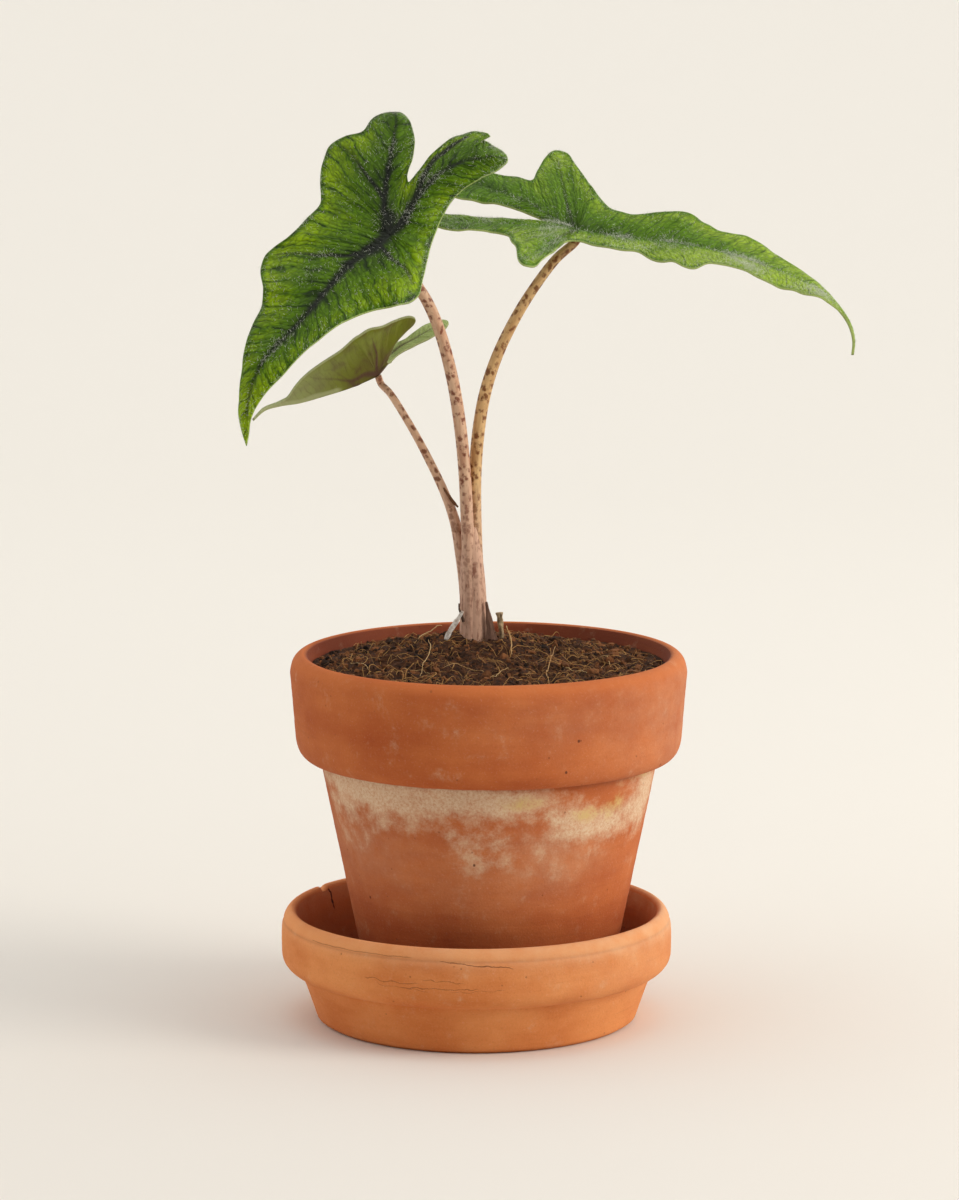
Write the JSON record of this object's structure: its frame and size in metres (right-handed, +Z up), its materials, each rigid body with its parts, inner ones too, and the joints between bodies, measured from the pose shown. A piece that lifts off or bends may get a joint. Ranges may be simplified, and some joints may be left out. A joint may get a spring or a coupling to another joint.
{
  "type": "potted alocasia",
  "caption": "Young alocasia with lobed arrow-shaped leaves on spotted stalks, growing in soil in a rimmed terracotta pot that stands in its own saucer.",
  "frame": {"origin": "middle of the saucer's flat underside, where it rests on a table", "axes": "+Z up, +X to the right and -Y towards the viewer of the pictured side"},
  "size_m": [0.2135, 0.14, 0.3203],
  "materials": {
    "pot_clay": "unglazed terracotta with lime bloom below the collar",
    "saucer_clay": "unglazed terracotta with fine crazing",
    "soil": "crumbly peat and coir with straw-coloured fibres",
    "tuber": "brown corky skin",
    "stalk_tan": "satin, golden tan with brown mottling",
    "stalk_pink": "satin, pinkish tan with maroon mottling",
    "leaf_upper": "quilted, hairy, dark sunken veins",
    "leaf_young": "thin young leaf, olive underside with purple-brown veins",
    "dry_sheath": "dry papery brown sheath",
    "dry_strip": "dry papery grey-white sheath"
  },
  "bodies": {
    "root": {"saucer": "saucer_clay", "pot": "pot_clay", "soil": "soil", "tuber": "tuber", "petiole_right": "stalk_tan", "petiole_front": "stalk_pink", "petiole_small": "stalk_pink", "leaf_front": "leaf_upper", "leaf_right": "leaf_upper", "leaf_small": "leaf_young", "dry_sheath_right": "dry_sheath", "sheath_stump": "dry_strip", "dry_sheath_left": "dry_strip"}
  },
  "joints": []
}
